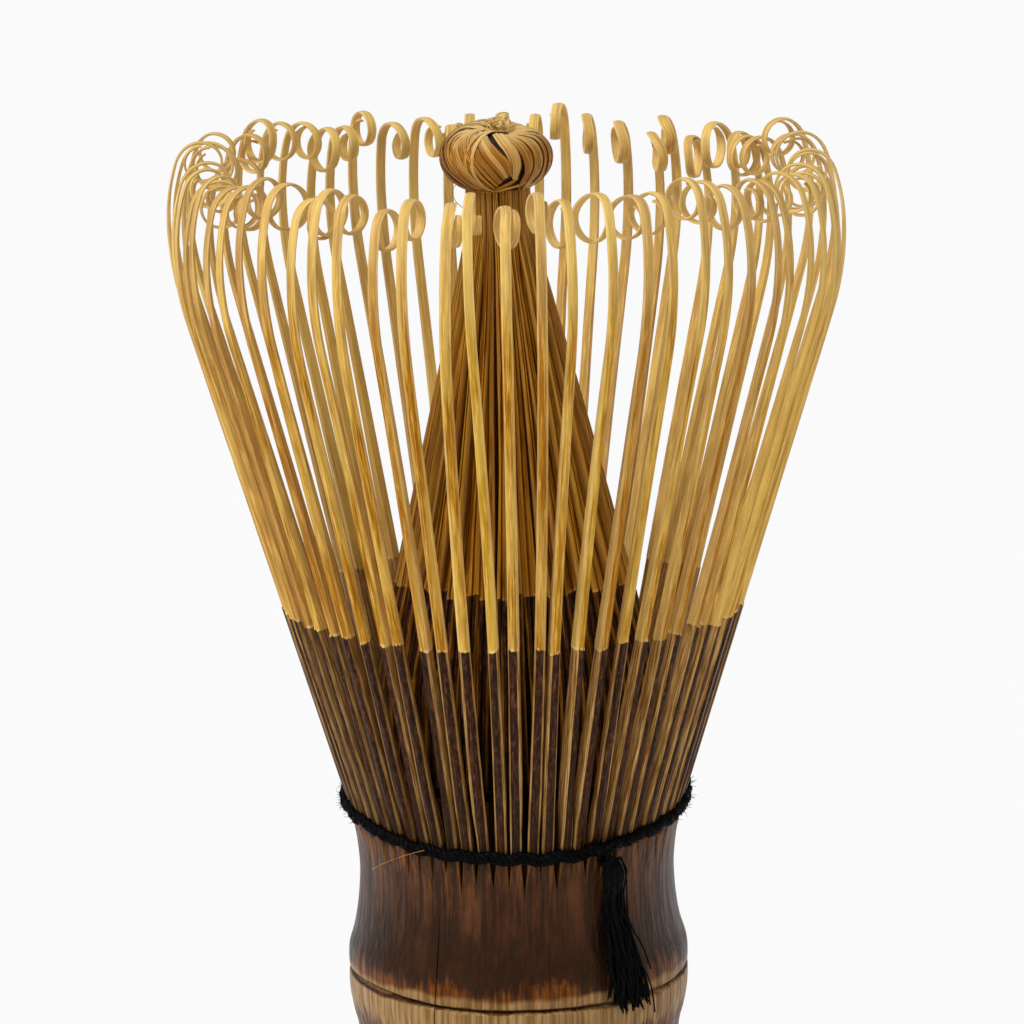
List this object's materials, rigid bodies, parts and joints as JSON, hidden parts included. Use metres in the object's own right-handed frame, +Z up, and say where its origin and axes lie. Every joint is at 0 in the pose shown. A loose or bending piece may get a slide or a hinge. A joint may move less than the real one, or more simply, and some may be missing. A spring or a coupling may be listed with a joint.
{
  "type": "bamboo tea whisk",
  "caption": "Hand-carved bamboo whisk: curled outer tines round a tied inner cone, laced with black thread above a short culm handle, for frothing powdered tea.",
  "frame": {"origin": "centre of the foot of the handle, on the surface it stands on", "axes": "+Z up along the culm to the tip, -Y the side with the thread's low point, the lacing knot is towards +X and -Y"},
  "size_m": [0.06, 0.06, 0.118],
  "materials": {
    "golden_bamboo": "satin split bamboo, golden, with fine lengthwise fibres",
    "smoked_bamboo": "dark smoked culm skin, semi-gloss, paler below the node",
    "black_thread": "matt black twisted cotton"
  },
  "bodies": {
    "handle": {"handle": "smoked_bamboo", "lacing_outer_run": "black_thread", "lacing_inner_run": "black_thread", "lacing_knot": "black_thread", "lacing_tail": "black_thread"},
    "outer_split_01": {"outer_split_01": "golden_bamboo"},
    "outer_split_02": {"outer_split_02": "golden_bamboo"},
    "outer_split_03": {"outer_split_03": "golden_bamboo"},
    "outer_split_04": {"outer_split_04": "golden_bamboo"},
    "outer_split_05": {"outer_split_05": "golden_bamboo"},
    "outer_split_06": {"outer_split_06": "golden_bamboo"},
    "outer_split_07": {"outer_split_07": "golden_bamboo"},
    "outer_split_08": {"outer_split_08": "golden_bamboo"},
    "outer_split_09": {"outer_split_09": "golden_bamboo"},
    "outer_split_10": {"outer_split_10": "golden_bamboo"},
    "outer_split_11": {"outer_split_11": "golden_bamboo"},
    "outer_split_12": {"outer_split_12": "golden_bamboo"},
    "outer_split_13": {"outer_split_13": "golden_bamboo"},
    "outer_split_14": {"outer_split_14": "golden_bamboo"},
    "outer_split_15": {"outer_split_15": "golden_bamboo"},
    "outer_split_16": {"outer_split_16": "golden_bamboo"},
    "inner_cone": {"inner_split_01": "golden_bamboo", "inner_split_02": "golden_bamboo", "inner_split_03": "golden_bamboo", "inner_split_04": "golden_bamboo", "inner_split_05": "golden_bamboo", "inner_split_06": "golden_bamboo", "inner_split_07": "golden_bamboo", "inner_split_08": "golden_bamboo", "inner_split_09": "golden_bamboo", "inner_split_10": "golden_bamboo", "inner_split_11": "golden_bamboo", "inner_split_12": "golden_bamboo", "inner_split_13": "golden_bamboo", "inner_split_14": "golden_bamboo", "inner_split_15": "golden_bamboo", "inner_split_16": "golden_bamboo"},
    "tip": {"tip_knot": "golden_bamboo"}
  },
  "joints": [
    {"name": "outer_flex_01", "type": "hinge", "parent": "handle", "child": "outer_split_01", "pos_m": [0.01416, 0.00355, 0.0565], "axis": [-0.243, 0.97, 0], "range_deg": [-3, 8], "stiffness_Nm_per_rad": 0.009},
    {"name": "outer_flex_02", "type": "hinge", "parent": "handle", "child": "outer_split_02", "pos_m": [0.01173, 0.0087, 0.0565], "axis": [-0.5957, 0.8032, 0], "range_deg": [-3, 8], "stiffness_Nm_per_rad": 0.009},
    {"name": "outer_flex_03", "type": "hinge", "parent": "handle", "child": "outer_split_03", "pos_m": [0.00751, 0.01252, 0.0565], "axis": [-0.8577, 0.5141, 0], "range_deg": [-3, 8], "stiffness_Nm_per_rad": 0.009},
    {"name": "outer_flex_04", "type": "hinge", "parent": "handle", "child": "outer_split_04", "pos_m": [0.00214, 0.01444, 0.0565], "axis": [-0.9892, 0.1467, 0], "range_deg": [-3, 8], "stiffness_Nm_per_rad": 0.009},
    {"name": "outer_flex_05", "type": "hinge", "parent": "handle", "child": "outer_split_05", "pos_m": [-0.00355, 0.01416, 0.0565], "axis": [-0.97, -0.243, 0], "range_deg": [-3, 8], "stiffness_Nm_per_rad": 0.009},
    {"name": "outer_flex_06", "type": "hinge", "parent": "handle", "child": "outer_split_06", "pos_m": [-0.0087, 0.01173, 0.0565], "axis": [-0.8032, -0.5957, 0], "range_deg": [-3, 8], "stiffness_Nm_per_rad": 0.009},
    {"name": "outer_flex_07", "type": "hinge", "parent": "handle", "child": "outer_split_07", "pos_m": [-0.01252, 0.00751, 0.0565], "axis": [-0.5141, -0.8577, 0], "range_deg": [-3, 8], "stiffness_Nm_per_rad": 0.009},
    {"name": "outer_flex_08", "type": "hinge", "parent": "handle", "child": "outer_split_08", "pos_m": [-0.01444, 0.00214, 0.0565], "axis": [-0.1467, -0.9892, 0], "range_deg": [-3, 8], "stiffness_Nm_per_rad": 0.009},
    {"name": "outer_flex_09", "type": "hinge", "parent": "handle", "child": "outer_split_09", "pos_m": [-0.01416, -0.00355, 0.0565], "axis": [0.243, -0.97, 0], "range_deg": [-3, 8], "stiffness_Nm_per_rad": 0.009},
    {"name": "outer_flex_10", "type": "hinge", "parent": "handle", "child": "outer_split_10", "pos_m": [-0.01173, -0.0087, 0.0565], "axis": [0.5957, -0.8032, 0], "range_deg": [-3, 8], "stiffness_Nm_per_rad": 0.009},
    {"name": "outer_flex_11", "type": "hinge", "parent": "handle", "child": "outer_split_11", "pos_m": [-0.00751, -0.01252, 0.0565], "axis": [0.8577, -0.5141, 0], "range_deg": [-3, 8], "stiffness_Nm_per_rad": 0.009},
    {"name": "outer_flex_12", "type": "hinge", "parent": "handle", "child": "outer_split_12", "pos_m": [-0.00214, -0.01444, 0.0565], "axis": [0.9892, -0.1467, 0], "range_deg": [-3, 8], "stiffness_Nm_per_rad": 0.009},
    {"name": "outer_flex_13", "type": "hinge", "parent": "handle", "child": "outer_split_13", "pos_m": [0.00355, -0.01416, 0.0565], "axis": [0.97, 0.243, 0], "range_deg": [-3, 8], "stiffness_Nm_per_rad": 0.009},
    {"name": "outer_flex_14", "type": "hinge", "parent": "handle", "child": "outer_split_14", "pos_m": [0.0087, -0.01173, 0.0565], "axis": [0.8032, 0.5957, 0], "range_deg": [-3, 8], "stiffness_Nm_per_rad": 0.009},
    {"name": "outer_flex_15", "type": "hinge", "parent": "handle", "child": "outer_split_15", "pos_m": [0.01252, -0.00751, 0.0565], "axis": [0.5141, 0.8577, 0], "range_deg": [-3, 8], "stiffness_Nm_per_rad": 0.009},
    {"name": "outer_flex_16", "type": "hinge", "parent": "handle", "child": "outer_split_16", "pos_m": [0.01444, -0.00214, 0.0565], "axis": [0.1467, 0.9892, 0], "range_deg": [-3, 8], "stiffness_Nm_per_rad": 0.009},
    {"name": "cone_sway_x", "type": "hinge", "parent": "handle", "child": "inner_cone", "pos_m": [0, 0, 0.0545], "axis": [0, 1, 0], "range_deg": [-2.5, 2.5], "stiffness_Nm_per_rad": 0.15},
    {"name": "cone_sway_y", "type": "hinge", "parent": "inner_cone", "child": "tip", "pos_m": [0, 0, 0.0545], "axis": [1, 0, 0], "range_deg": [-2.5, 2.5], "stiffness_Nm_per_rad": 0.15}
  ]
}
